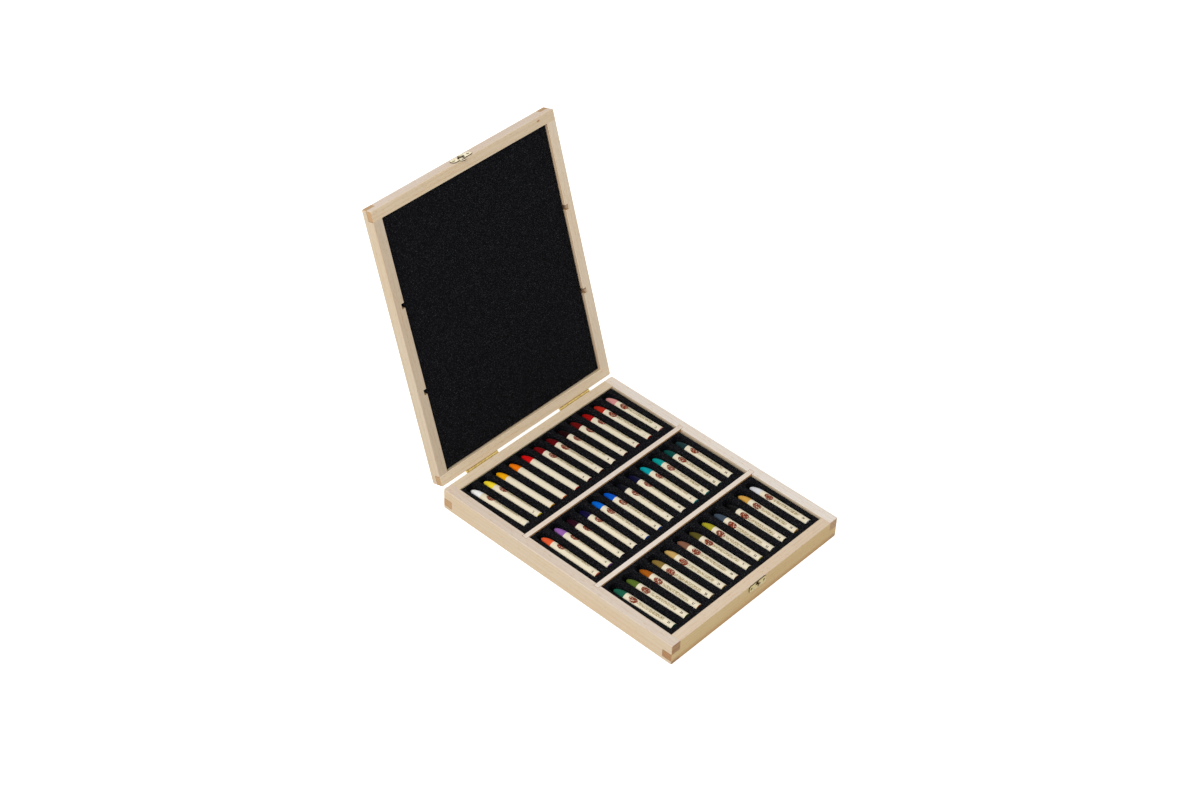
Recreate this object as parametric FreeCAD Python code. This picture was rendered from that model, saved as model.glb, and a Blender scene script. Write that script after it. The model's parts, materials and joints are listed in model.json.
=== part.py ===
import FreeCAD, Part
import math
import os

# A flat hinged wooden box that holds three rows of oil pastels in slotted foam inserts.
# The box was glued up closed, with finger joints at its four corners, and then sawn apart
# into a tray and a lid. Two brass stop hinges carry the lid and a brass hook latch shuts it.
#
# Millimetres. The origin is the centre of the tray's underside, on the table. +X runs to the
# right along the hinge, +Y from the front to the hinge side, +Z up. The lid's pieces are
# modelled on the shut box and then turned to the open rest position.

VEC = FreeCAD.Vector
X_AXIS = VEC(1, 0, 0)
Z_AXIS = VEC(0, 0, 1)

# ---- Driving dimensions ------------------------------------------------------------------

# Wooden carcass. Its width and depth follow from the pastels and the room round them.
TRAY_HEIGHT = 22.0
LID_HEIGHT = 12.0
SAW_GAP = 0.1             # left between the two rims when the box is shut
WALL = 10.5               # thickness of all eight walls
PANEL = 3.0               # thickness of the tray's bottom and of the lid's top
PANEL_LAP = 5.0           # how far a panel reaches over the walls' rebate
PANEL_FIT = 0.1           # play round a panel in its rebate
TRAY_FINGER_LOW = 3.7     # the front and back walls own the finger from here ...
TRAY_FINGER_HIGH = 12.0   # ... up to here, and the side walls own the rest
LID_FINGER = 6.0          # height of the finger next to the lid's rim
CORNER_ROUND = 1.5        # upright outer corners
FACE_BREAK = 0.3          # broken outer edges round the box's underside and its top
RIM_BREAK = 0.35          # broken outer edges of both rims
RIM_EASE = 0.35           # broken inner edges of both rims

# Dividers between the rows
DIVIDER = 4.7             # thickness
GROOVE_DEPTH = 3.5        # grooves in the side walls of the tray and, from the same cut, the lid
GROOVE_FIT = 0.25         # play round a divider in its groove

# Pastels: a round stick in a glued paper wrapper
PASTEL_LENGTH = 68.0
PASTEL_DIAMETER = 9.2     # over the wrapper
PASTEL_PITCH = 16.4
PASTEL_EDGE_ROOM = 11.8   # first and last pastel's axis from the side wall
PASTEL_END_ROOM = 14.2    # length of a compartment beyond the pastel's own
WRAPPER_LENGTH = 54.5     # from the foot
WRAPPER_PAPER = 0.15      # thickness of the wound paper
TIP_SHOULDER = 5.5        # from the wrapper to where the tip starts to taper quickly
TIP_SHOULDER_LOSS = 0.9   # smaller diameter there
TIP_NOSE = 3.1            # diameter of the blunt nose
PASTEL_PROUD = 0.5        # top of a pastel above the foam
PASTEL_SKEW = 0.4         # largest angle, in degrees, that a pastel lies askew in its slot
SKEW_STEP = 2.4           # radians of the sine that scatters the skew, from slot to slot ...
SKEW_ROW_STEP = 1.7       # ... and from row to row

# Foam inserts and the lid's foam pad
FOAM_RECESS = 1.4         # foam surface below the tray's rim
FOAM_END_PLAY = 0.3       # between an insert and the wall or divider at its front and rear
FOAM_SIDE_PLAY = 1.6      # between a centred insert and the side walls
SLOT_SIDE_PLAY = 0.4      # between a pastel and the sides of its slot
SLOT_FLOOR_PLAY = 0.3     # under a pastel
SLOT_FOOT_PLAY = 1.0      # in front of a pastel's foot
WELL_REACH = 3.5          # finger well past the tip of the pastel
WELL_LAP = 6.0            # finger well under the tip of the pastel
WELL_DROP = 3.5           # finger well below the slot's floor
WELL_EXTRA = 0.7          # finger well beyond each side of the slot
PAD_RECESS = 2.6          # lid pad below the lid's rim
PAD_PLAY = 0.6            # round the lid pad

# Hinges
HINGE_WIDTH = 40.0
HINGE_OFFSET = 61.5       # centre of each hinge from the middle of the box
HINGE_LEAF = 8.5          # height of a leaf, from the pin's axis
HINGE_SHEET = 0.5         # thickness of the brass sheet
HINGE_PIN = 1.5           # diameter
HINGE_PIN_PLAY = 0.05     # round the pin in the lid's knuckles
KNUCKLES = 5
KNUCKLE_GAP = 0.2
LEAF_CLEARANCE = 0.3      # between a leaf and the other leaf's knuckles
STOP_LIP = 1.6            # how far a stop lip stands out from its knuckle
STOP_GAP = 0.03
OPEN_ANGLE = 107.8        # lid against the hinges' stops
HINGE_BRAD_SPREAD = 14.0  # both brads of a leaf from its middle
HINGE_BRAD_DROP = 5.4     # brads from the pin's axis

# Latch
CLASP_WIDTH = 23.0
CLASP_HEIGHT = 8.0
CLASP_ROUND = 2.6         # corners of both plates
CLASP_SHEET = 0.8         # thickness of the plates and of the hook
LATCH_SETBACK = 4.7       # middle of the latch plate, and its rivet, from the lid's rim
KEEPER_SETBACK = 4.2      # middle of the keeper plate from the tray's rim
STUD_SETBACK = 3.4        # stud on the keeper plate from the tray's rim
CLASP_BRAD_SPREAD = 8.6   # brads of a plate from its middle
RIVET_SHANK = 2.4
RIVET_HEAD = 6.4
RIVET_DOME = 1.6
RIVET_PLAY = 0.05         # round the rivet in the hook's eye, and under the hook and the head
HOOK_EYE = 7.0            # outer diameter of the eye
HOOK_ARM = 3.0            # width of the arm
HOOK_END = 5.8            # outer diameter of the hooked end
HOOK_SLOT_PLAY = 0.2      # between the stud's neck and each side of the hook's slot
HOOK_SWING_ROOM = 0.1     # between the hook's end and the stud's neck when it is swung clear
STUD_NECK = 1.8
STUD_HEAD = 4.3
STUD_RISE = 1.3           # neck above the keeper plate
STUD_DOME = 1.0

# Round-headed brads, the same for the hinges and the latch
BRAD_SHANK = 1.2
BRAD_LENGTH = 7.0
BRAD_POINT = 1.5
BRAD_HEAD = 2.8
BRAD_DOME = 0.7
BRAD_PLAY = 0.03          # round a brad in the wood
BRAD_HOLE_PLAY = 0.1      # round a brad in the brass

# Flats round the small turned pieces, which keep their facets few
PASTEL_FLAT_COUNT = 12
BRAD_FLAT_COUNT = 8
RIVET_FLAT_COUNT = 24
DOME_STEPS = (1.0, 0.6, 0.2)   # rings of a domed head, as shares of its half angle

ROW_NAMES = ("front", "middle", "rear")
ROW_SHIFTS = {"front": -0.5, "middle": -1.3, "rear": -0.5}  # how far each insert has slid in X
ROW_LEANS = {"front": 1.0, "middle": -0.3, "rear": 2.3}    # degrees its slots lean, tips to the left
ROW_FANS = {"front": -0.16, "middle": 0.0, "rear": 0.0}    # degrees more from each slot to the next
ROW_SPREADS = {"front": 0.27, "middle": 0.0, "rear": 0.0}  # added to the pitch of its slots
ROW_FEET = {"front": 6.6, "middle": 8.6, "rear": 9.8}      # pastels' feet from their compartment's front
ROW_COLOURS = {
    "rear": ("white", "lemon_yellow", "golden_yellow", "orange", "bright_red", "carmine",
             "crimson", "maroon", "dark_red", "red", "brick_red", "pink"),
    "middle": ("coral", "violet", "aubergine", "ultramarine", "azure_blue", "cobalt_blue",
               "blue_black", "navy_blue", "turquoise", "turquoise_green", "teal_green",
               "deep_teal"),
    "front": ("emerald_green", "olive_green", "sienna", "olive_brown", "ochre", "taupe",
              "dark_olive", "lime_olive", "blue_grey", "black", "gold_ochre", "pale_grey"),
}

# ---- Sizes that follow from them ---------------------------------------------------------

PASTEL_COUNT = len(ROW_COLOURS["front"])
COMPARTMENT = PASTEL_LENGTH + PASTEL_END_ROOM
ROW_PITCH = COMPARTMENT + DIVIDER
INNER_HALF_WIDTH = (PASTEL_COUNT - 1) * PASTEL_PITCH / 2 + PASTEL_EDGE_ROOM
INNER_HALF_DEPTH = (len(ROW_NAMES) * ROW_PITCH - DIVIDER) / 2
HALF_WIDTH = INNER_HALF_WIDTH + WALL
HALF_DEPTH = INNER_HALF_DEPTH + WALL
LID_RIM = TRAY_HEIGHT + SAW_GAP
LID_TOP = LID_RIM + LID_HEIGHT
FOAM_TOP = TRAY_HEIGHT - FOAM_RECESS
PASTEL_RADIUS = PASTEL_DIAMETER / 2
PASTEL_AXIS_Z = FOAM_TOP + PASTEL_PROUD - PASTEL_RADIUS
BARREL = HINGE_PIN / 2 + HINGE_PIN_PLAY + HINGE_SHEET      # outer radius of a knuckle
HINGE_Y = HALF_DEPTH + BARREL
HINGE_Z = TRAY_HEIGHT + SAW_GAP / 2
LATCH_Z = LID_RIM + LATCH_SETBACK
KEEPER_Z = TRAY_HEIGHT - KEEPER_SETBACK
STUD_Z = TRAY_HEIGHT - STUD_SETBACK
HOOK_REACH = LATCH_Z - STUD_Z
HOOK_SWING = math.degrees(math.asin(((HOOK_END + STUD_NECK) / 2 + HOOK_SWING_ROOM) / HOOK_REACH))


# ---- Small tools -------------------------------------------------------------------------

def block(x0, x1, y0, y1, z0, z1):
    """A box between two corners."""
    return Part.makeBox(x1 - x0, y1 - y0, z1 - z0, VEC(x0, y0, z0))


def flat_face(corners):
    """A face on a closed run of corners that lie in one plane."""
    return Part.Face(Part.makePolygon(corners + corners[:1]))


def extruded(points, height):
    """A prism on a closed polygon in the XY plane."""
    return flat_face([VEC(x, y, 0) for x, y in points]).extrude(VEC(0, 0, height))


def turned(points, flats):
    """A turned solid about Z through (radius, height) points, with that many flats round it."""
    step = 2 * math.pi / flats
    rings = [[VEC(radius * math.cos(n * step), radius * math.sin(n * step), height)
              for n in range(flats)] for radius, height in points]
    faces = [flat_face(rings[0]), flat_face(rings[-1])]
    for low, high in zip(rings, rings[1:]):
        faces += [flat_face([low[n - 1], low[n], high[n], high[n - 1]]) for n in range(flats)]
    solid = Part.Solid(Part.Shell(faces))
    solid.fix(1e-6, 1e-6, 1e-6)
    return solid


def dome(diameter, height):
    """Points up the outside of a shallow dome that stands on z = 0, ending in a small flat."""
    sphere = (diameter ** 2 / 4 + height ** 2) / (2 * height)
    half_angle = math.asin(diameter / 2 / sphere)
    return [(sphere * math.sin(half_angle * share), height - sphere * (1 - math.cos(half_angle * share)))
            for share in DOME_STEPS]


def headed_pin(shank, length, head, rise, flats, point=0.0):
    """A pin along Z: its shank below z = 0, a domed head above it, and a taper for a point."""
    tip = [(shank / 8, -length), (shank / 2, point - length)] if point else [(shank / 2, -length)]
    return turned(tip + [(shank / 2, 0.0)] + dome(head, rise), flats)


def facing(shape, base, outward):
    """Stand a shape made along +Z on a face, at base, along the face's outward direction."""
    place = FreeCAD.Placement(base, FreeCAD.Rotation(Z_AXIS, outward))
    shape.Placement = place.multiply(shape.Placement)
    return shape


def on_front(shape, height):
    """Lay a shape made in the XY plane on the front of the box: Y becomes up, Z outward."""
    place = FreeCAD.Placement(VEC(0, -HALF_DEPTH, height), FreeCAD.Rotation(X_AXIS, 90))
    shape.Placement = place.multiply(shape.Placement)
    return shape


def edges_at(shape, test):
    """The edges of a shape whose middle passes a test."""
    return [e for e in shape.Edges if test(e.BoundBox.Center, e)]


def opened(shape):
    """Turn a piece of the shut lid to the open rest position."""
    shape.rotate(VEC(0, HINGE_Y, HINGE_Z), VEC(-1, 0, 0), OPEN_ANGLE)
    return shape


def save(node, pieces):
    """Write one node: a solid, or a list of separate solids."""
    shape = Part.makeCompound(pieces) if isinstance(pieces, list) else pieces
    shape.exportStep("parts/" + node + ".step")


# ---- Wooden carcass ----------------------------------------------------------------------

def carcass(z_rim, z_face):
    """The four walls of the tray or the lid as one eased ring, before the corners are parted.

    z_rim is the height of the sawn rim and z_face that of the closed side.
    """
    low, high = min(z_rim, z_face), max(z_rim, z_face)
    body = block(-HALF_WIDTH, HALF_WIDTH, -HALF_DEPTH, HALF_DEPTH, low, high)
    upright = edges_at(body, lambda c, e: low < c.z < high)
    body = body.makeFillet(CORNER_ROUND, upright)
    body = body.makeChamfer(FACE_BREAK, edges_at(body, lambda c, e: abs(c.z - z_face) < 1e-6))
    body = body.makeChamfer(RIM_BREAK, edges_at(body, lambda c, e: abs(c.z - z_rim) < 1e-6))
    well = block(-INNER_HALF_WIDTH, INNER_HALF_WIDTH, -INNER_HALF_DEPTH, INNER_HALF_DEPTH, low, high)
    ring = body.cut(well)
    inner_rim = edges_at(ring, lambda c, e: abs(c.z - z_rim) < 1e-6
                         and abs(c.x) < INNER_HALF_WIDTH + 1e-6
                         and abs(c.y) < INNER_HALF_DEPTH + 1e-6)
    ring = ring.makeChamfer(RIM_EASE, inner_rim)
    return ring.cut(panel_block(z_face, 0.0)).cut(Part.makeCompound(divider_grooves(z_rim, z_face)))


def panel_block(z_face, play):
    """The panel that closes the tray or the lid, with play all round it in its rebate."""
    half_width = INNER_HALF_WIDTH + PANEL_LAP - play
    half_depth = INNER_HALF_DEPTH + PANEL_LAP - play
    z_inside = z_face + PANEL if z_face < LID_RIM else z_face - PANEL
    return block(-half_width, half_width, -half_depth, half_depth,
                 min(z_face, z_inside), max(z_face, z_inside))


def divider_y(number):
    """Middle of a divider: 1 is the front one, 2 the rear one."""
    return -INNER_HALF_DEPTH + number * ROW_PITCH - DIVIDER / 2


def divider_grooves(z_rim, z_face):
    """Grooves across the side walls, from the rim to the panel."""
    z_panel = z_face + PANEL if z_face < z_rim else z_face - PANEL
    reach = INNER_HALF_WIDTH + GROOVE_DEPTH
    half = DIVIDER / 2 + GROOVE_FIT
    return [block(-reach, reach, divider_y(n) - half, divider_y(n) + half,
                  min(z_rim, z_panel), max(z_rim, z_panel)) for n in (1, 2)]


def cross_wall(ring, side, z_low, z_high, finger_low, finger_high):
    """The front (side -1) or back (side 1) wall, with one finger at each end."""
    near, far = sorted((side * INNER_HALF_DEPTH, side * HALF_DEPTH))
    middle = block(-INNER_HALF_WIDTH, INNER_HALF_WIDTH, near, far, z_low, z_high)
    finger = block(-HALF_WIDTH, HALF_WIDTH, near, far, finger_low, finger_high)
    return ring.common(middle.fuse(finger)).removeSplitter()


def side_wall(ring, side, z_low, z_high, finger_low, finger_high):
    """The left (side -1) or right (side 1) wall, cut away where the cross walls' fingers are."""
    near, far = sorted((side * INNER_HALF_WIDTH, side * HALF_WIDTH))
    wall = block(near, far, -HALF_DEPTH, HALF_DEPTH, z_low, z_high)
    for end in (-1, 1):
        low, high = sorted((end * INNER_HALF_DEPTH, end * HALF_DEPTH))
        wall = wall.cut(block(near, far, low, high, finger_low, finger_high))
    return ring.common(wall).removeSplitter()


def walls(z_rim, z_face, finger_low, finger_high):
    """The four walls of the tray or the lid, by name."""
    ring = carcass(z_rim, z_face)
    heights = (min(z_rim, z_face), max(z_rim, z_face), finger_low, finger_high)
    return {
        "front": cross_wall(ring, -1, *heights),
        "back": cross_wall(ring, 1, *heights),
        "left": side_wall(ring, -1, *heights),
        "right": side_wall(ring, 1, *heights),
    }


def dividers():
    """Two thin boards that stand on the tray's bottom, flush with its rim."""
    reach = INNER_HALF_WIDTH + GROOVE_DEPTH - GROOVE_FIT
    return [block(-reach, reach, divider_y(n) - DIVIDER / 2, divider_y(n) + DIVIDER / 2,
                  PANEL, TRAY_HEIGHT) for n in (1, 2)]


# ---- Foam and pastels --------------------------------------------------------------------

def row_front(row):
    """Y of the front of a row's compartment."""
    return -INNER_HALF_DEPTH + ROW_NAMES.index(row) * ROW_PITCH


def laid(shape, row, number, skew=0.0):
    """Lay a shape made along Y in a slot, numbered from 0 at the left, by the pastel's middle."""
    place = number - (PASTEL_COUNT - 1) / 2
    x = ROW_SHIFTS[row] + place * (PASTEL_PITCH + ROW_SPREADS[row])
    shape.rotate(VEC(0, 0, 0), Z_AXIS, ROW_LEANS[row] + place * ROW_FANS[row] + skew)
    shape.translate(VEC(x, row_front(row) + ROW_FEET[row] + PASTEL_LENGTH / 2, 0))
    return shape


def slot():
    """The cut for one pastel: a flat-bottomed slot, and a deeper well for a fingertip at its tip."""
    tip = PASTEL_LENGTH / 2
    half = PASTEL_RADIUS + SLOT_SIDE_PLAY
    floor = PASTEL_AXIS_Z - PASTEL_RADIUS - SLOT_FLOOR_PLAY
    channel = block(-half, half, -tip - SLOT_FOOT_PLAY, tip, floor, FOAM_TOP)
    half += WELL_EXTRA
    return channel.fuse(block(-half, half, tip - WELL_LAP, tip + WELL_REACH, floor - WELL_DROP, FOAM_TOP))


def foam_insert(row):
    """A foam block with a flat-bottomed slot and a finger well for each pastel."""
    half = INNER_HALF_WIDTH - FOAM_SIDE_PLAY
    front = row_front(row) + FOAM_END_PLAY
    rear = row_front(row) + COMPARTMENT - FOAM_END_PLAY
    foam = block(ROW_SHIFTS[row] - half, ROW_SHIFTS[row] + half, front, rear, PANEL, FOAM_TOP)
    return foam.cut(Part.makeCompound([laid(slot(), row, number) for number in range(PASTEL_COUNT)]))


def pastel(row, number):
    """One stick and its paper wrapper, lying in its slot with its tip to the hinge side."""
    stick = PASTEL_RADIUS - WRAPPER_PAPER
    outline = [(PASTEL_RADIUS, 0), (PASTEL_RADIUS, WRAPPER_LENGTH), (stick, WRAPPER_LENGTH),
               (stick - TIP_SHOULDER_LOSS / 2, WRAPPER_LENGTH + TIP_SHOULDER),
               (TIP_NOSE / 2, PASTEL_LENGTH)]
    shape = turned(outline, PASTEL_FLAT_COUNT)
    shape.translate(VEC(0, 0, -PASTEL_LENGTH / 2))
    shape.rotate(VEC(0, 0, 0), X_AXIS, -90)
    shape.translate(VEC(0, 0, PASTEL_AXIS_Z))
    skew = PASTEL_SKEW * math.sin(SKEW_STEP * number + SKEW_ROW_STEP * ROW_NAMES.index(row))
    return laid(shape, row, number, skew)


def lid_pad():
    """A flat foam pad glued to the inside of the lid's top."""
    half_width = INNER_HALF_WIDTH - PAD_PLAY
    half_depth = INNER_HALF_DEPTH - PAD_PLAY
    return block(-half_width, half_width, -half_depth, half_depth, LID_RIM + PAD_RECESS, LID_TOP - PANEL)


# ---- Brads -------------------------------------------------------------------------------

def brad():
    return headed_pin(BRAD_SHANK, BRAD_LENGTH, BRAD_HEAD, BRAD_DOME, BRAD_FLAT_COUNT, BRAD_POINT)


def brad_bore(play):
    """The hole for a brad's shank, through a leaf or plate or down into the wood."""
    radius = BRAD_SHANK / 2 + play
    return turned([(radius, -BRAD_LENGTH - play), (radius, BRAD_LENGTH)], BRAD_FLAT_COUNT)


def brad_places(on_lid):
    """Where the brads of the tray or the shut lid pass through the brass: base and outward."""
    hinge_z = HINGE_Z + (HINGE_BRAD_DROP if on_lid else -HINGE_BRAD_DROP)
    clasp_z = LATCH_Z if on_lid else KEEPER_Z
    places = [(VEC(side * HINGE_OFFSET + spread, HALF_DEPTH + HINGE_SHEET, hinge_z), VEC(0, 1, 0))
              for side in (-1, 1) for spread in (-HINGE_BRAD_SPREAD, HINGE_BRAD_SPREAD)]
    places += [(VEC(side * CLASP_BRAD_SPREAD, -HALF_DEPTH - CLASP_SHEET, clasp_z), VEC(0, -1, 0))
               for side in (-1, 1)]
    return places


def brads(on_lid):
    return [facing(brad(), base, outward) for base, outward in brad_places(on_lid)]


def drilled(shape, on_lid, play):
    """Drill a wall, leaf or plate for every brad that reaches it."""
    bores = [facing(brad_bore(play), base, outward) for base, outward in brad_places(on_lid)]
    return shape.cut(Part.makeCompound(bores))


# ---- Hinges ------------------------------------------------------------------------------

def knuckle_span(number):
    """X range of a knuckle from the left end of the hinge, with half a gap at each side."""
    step = HINGE_WIDTH / KNUCKLES
    start = -HINGE_WIDTH / 2 + number * step
    return start + KNUCKLE_GAP / 2, start + step - KNUCKLE_GAP / 2


def bar(x0, x1, radius):
    """A round bar along the pin's axis."""
    return Part.makeCylinder(radius, x1 - x0, VEC(x0, 0, 0), X_AXIS)


def stop_lip(x0, x1):
    """The turned-out tail of a tray knuckle, on which the open lid's leaf lands."""
    inside = STOP_GAP - BARREL + HINGE_SHEET
    lip = block(x0, x1, inside, inside + HINGE_SHEET, 0, BARREL + STOP_LIP)
    lip.rotate(VEC(0, 0, 0), VEC(-1, 0, 0), OPEN_ANGLE)
    return lip


def leaf(up, own, others):
    """One leaf with its rolled knuckles, its pin's axis on the X axis.

    up is 1 for the lid's leaf and -1 for the tray's; own and others are knuckle numbers. The
    tray's knuckles grip the pin and carry the stops, and the lid's turn on it.
    """
    z0, z1 = sorted((0.0, up * HINGE_LEAF))
    plate = block(-HINGE_WIDTH / 2, HINGE_WIDTH / 2, -BARREL, HINGE_SHEET - BARREL, z0, z1)
    for number in others:
        x0, x1 = knuckle_span(number)
        room = BARREL + LEAF_CLEARANCE
        plate = plate.cut(block(x0 - KNUCKLE_GAP, x1 + KNUCKLE_GAP, -2 * BARREL, 0, -room, room))
    shape = plate
    for number in own:
        x0, x1 = knuckle_span(number)
        shape = shape.fuse(bar(x0, x1, BARREL))
        if up < 0:
            shape = shape.fuse(stop_lip(x0, x1))
    play = HINGE_PIN_PLAY if up > 0 else 0.0
    return shape.cut(bar(-HINGE_WIDTH, HINGE_WIDTH, HINGE_PIN / 2 + play)).removeSplitter()


def at_hinges(shape):
    """Copies of a hinge piece at the two hinges."""
    copies = []
    for side in (-1, 1):
        copy = shape.copy()
        copy.translate(VEC(side * HINGE_OFFSET, HINGE_Y, HINGE_Z))
        copies.append(copy)
    return copies


# ---- Latch -------------------------------------------------------------------------------

def clasp_plate():
    """A brass plate with rounded corners, centred on the origin and lying on z = 0."""
    plate = Part.makeBox(CLASP_WIDTH, CLASP_HEIGHT, CLASP_SHEET,
                         VEC(-CLASP_WIDTH / 2, -CLASP_HEIGHT / 2, 0))
    return plate.makeFillet(CLASP_ROUND, edges_at(plate, lambda c, e: e.BoundBox.ZLength > 0.1))


def latch_plate():
    hole = Part.makeCylinder(RIVET_SHANK / 2, CLASP_SHEET)
    return clasp_plate().cut(hole)


def keeper():
    """The keeper plate and the headed stud that is riveted into it."""
    above = STUD_Z - KEEPER_Z
    hole = Part.makeCylinder(STUD_NECK / 2, CLASP_SHEET, VEC(0, above, 0))
    stud = headed_pin(STUD_NECK, CLASP_SHEET + STUD_RISE, STUD_HEAD, STUD_DOME, RIVET_FLAT_COUNT)
    stud.translate(VEC(0, above, CLASP_SHEET + STUD_RISE))
    return clasp_plate().cut(hole), stud


def hook():
    """The hook, latched: an eye round the rivet, an arm down, and a slot round the stud's neck.

    The slot is an arc about the rivet, open to the side to which the stud leaves it.
    """
    eye = Part.makeCylinder(HOOK_EYE / 2, CLASP_SHEET)
    end = Part.makeCylinder(HOOK_END / 2, CLASP_SHEET, VEC(0, -HOOK_REACH, 0))
    half_arm = HOOK_ARM / 2
    arm = extruded([(half_arm, 0), (-half_arm, 0), (-HOOK_END / 2, -HOOK_REACH),
                    (HOOK_ARM - HOOK_END / 2, -HOOK_REACH)], CLASP_SHEET)
    shape = eye.fuse([arm, end])
    half_slot = STUD_NECK / 2 + HOOK_SLOT_PLAY
    outer = Part.makeCylinder(HOOK_REACH + half_slot, CLASP_SHEET)
    inner = Part.makeCylinder(HOOK_REACH - half_slot, CLASP_SHEET)
    sweep = extruded([(0, 0), (0, -2 * HOOK_REACH), (2 * HOOK_REACH, -2 * HOOK_REACH)], CLASP_SHEET)
    round_end = Part.makeCylinder(half_slot, CLASP_SHEET, VEC(0, -HOOK_REACH, 0))
    slot = outer.cut(inner).common(sweep).fuse(round_end)
    bore = Part.makeCylinder(RIVET_SHANK / 2 + RIVET_PLAY, CLASP_SHEET)
    shape = shape.cut(slot).cut(bore).removeSplitter()
    shape.translate(VEC(0, 0, CLASP_SHEET + RIVET_PLAY))
    return shape


def rivet():
    """Domed rivet through the hook and the latch plate."""
    length = 2 * (CLASP_SHEET + RIVET_PLAY)
    shape = headed_pin(RIVET_SHANK, length, RIVET_HEAD, RIVET_DOME, RIVET_FLAT_COUNT)
    shape.translate(VEC(0, 0, length))
    return shape


# ---- Assembly: tray ----------------------------------------------------------------------

os.makedirs("parts", exist_ok=True)
tray_walls = walls(TRAY_HEIGHT, 0.0, TRAY_FINGER_LOW, TRAY_FINGER_HIGH)
for name in ("front", "back"):
    tray_walls[name] = drilled(tray_walls[name], False, BRAD_PLAY)
for name, wall in tray_walls.items():
    save("tray_" + name + "_wall", wall)
save("tray_bottom", panel_block(0.0, PANEL_FIT))
save("tray_dividers", dividers())
for row_name in ROW_NAMES:
    save("foam_" + row_name, foam_insert(row_name))
    for index, colour in enumerate(ROW_COLOURS[row_name]):
        save("pastel_" + colour, pastel(row_name, index))

tray_knuckles = range(0, KNUCKLES, 2)
lid_knuckles = range(1, KNUCKLES, 2)
tray_leaf = leaf(-1, tray_knuckles, lid_knuckles)
save("hinge_tray_leaves", [drilled(piece, False, BRAD_HOLE_PLAY) for piece in at_hinges(tray_leaf)])
save("hinge_pins", at_hinges(bar(-HINGE_WIDTH / 2, HINGE_WIDTH / 2, HINGE_PIN / 2)))
save("tray_brads", brads(False))
keeper_plate, keeper_stud = keeper()
keeper_plate = drilled(on_front(keeper_plate, KEEPER_Z), False, BRAD_HOLE_PLAY)
save("keeper_plate", [keeper_plate, on_front(keeper_stud, KEEPER_Z)])

# ---- Assembly: lid, turned open ----------------------------------------------------------

lid_walls = walls(LID_RIM, LID_TOP, LID_RIM, LID_RIM + LID_FINGER)
for name in ("front", "back"):
    lid_walls[name] = drilled(lid_walls[name], True, BRAD_PLAY)
for name, wall in lid_walls.items():
    save("lid_" + name + "_wall", opened(wall))
save("lid_panel", opened(panel_block(LID_TOP, PANEL_FIT)))
save("lid_foam_pad", opened(lid_pad()))

lid_leaf = leaf(1, lid_knuckles, tray_knuckles)
lid_leaves = [drilled(piece, True, BRAD_HOLE_PLAY) for piece in at_hinges(lid_leaf)]
save("hinge_lid_leaves", [opened(piece) for piece in lid_leaves])
save("lid_brads", [opened(piece) for piece in brads(True)])
plate = drilled(on_front(latch_plate(), LATCH_Z), True, BRAD_HOLE_PLAY)
save("latch_plate", opened(plate))
save("latch_rivet", opened(on_front(rivet(), LATCH_Z)))
swung_hook = hook()
swung_hook.rotate(VEC(0, 0, 0), Z_AXIS, -HOOK_SWING)
save("latch_hook", opened(on_front(swung_hook, LATCH_Z)))
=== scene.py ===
import json
import math

import bmesh
import bpy
import numpy as np
from mathutils import Matrix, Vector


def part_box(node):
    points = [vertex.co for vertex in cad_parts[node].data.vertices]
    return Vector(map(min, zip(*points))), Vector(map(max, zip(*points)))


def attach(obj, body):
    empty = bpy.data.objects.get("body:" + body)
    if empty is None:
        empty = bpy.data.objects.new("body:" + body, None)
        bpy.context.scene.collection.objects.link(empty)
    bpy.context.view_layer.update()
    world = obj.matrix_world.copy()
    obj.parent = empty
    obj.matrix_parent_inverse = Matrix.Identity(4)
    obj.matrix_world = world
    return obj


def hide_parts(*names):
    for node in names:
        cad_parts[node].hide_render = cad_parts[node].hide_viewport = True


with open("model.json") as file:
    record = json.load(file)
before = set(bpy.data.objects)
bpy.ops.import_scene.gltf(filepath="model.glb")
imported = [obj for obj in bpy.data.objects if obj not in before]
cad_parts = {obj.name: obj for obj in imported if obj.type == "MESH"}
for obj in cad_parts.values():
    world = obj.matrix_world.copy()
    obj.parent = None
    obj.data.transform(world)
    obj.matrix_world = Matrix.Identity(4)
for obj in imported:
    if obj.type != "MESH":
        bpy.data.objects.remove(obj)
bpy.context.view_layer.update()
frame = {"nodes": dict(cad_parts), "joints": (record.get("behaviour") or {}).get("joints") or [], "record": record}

# ---- Boards of the tray and the lid ------------------------------------------------------
# Eight solid boards of a pale, bare wood, planed and sanded, with one glued finger at each
# corner. The rims where the lid was sawn from the tray take a paler tone, and each board has
# its own tones; both are painted light and shade, set board by board for how light falls on it.

LID_HINGE = next(joint for joint in frame["joints"] if joint["name"] == "lid_hinge")
LID_TILT = -math.radians(LID_HINGE["range_deg"][0])
# paler tone of the rims: painted light
RIM_PAINTED_LIGHT = (222, 207, 190)
END_TONE = (188, 156, 118)
DARK_LINE_TONE = (128, 84, 46)
KNOT_TONE = (168, 120, 78)
RING_WIDTH = 2.9          # of the growth rings, in millimetres
RING_SWAY = 14.0          # how far they wander up and down along the grain, in millimetres
RING_SHADE = (0.89, 0.82, 0.73)
END_RING_SHADE = (0.66, 0.55, 0.43)
FIBRE_SHADE = (0.90, 0.87, 0.82)
PORE_SHADE = (0.80, 0.68, 0.52)
CLOUD_SHADE = (1.0, 0.955, 0.90)
KNOT_REACH = (2.6, 1.2, 1.2)     # along, across and up, in millimetres
# where the painted shade towards a board's lower edge starts and ends
PAINTED_LOW_SHADE_SPAN = (-4.0, -10.5)    # up from the middle of the board, in millimetres


def colour(red, green, blue):
    """An sRGB colour from 0 to 255, as the linear colour that a shader takes."""
    value = np.array([red, green, blue]) / 255
    linear = np.where(value <= 0.04045, value / 12.92, ((value + 0.055) / 1.055) ** 2.4)
    return (*linear.tolist(), 1.0)


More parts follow.
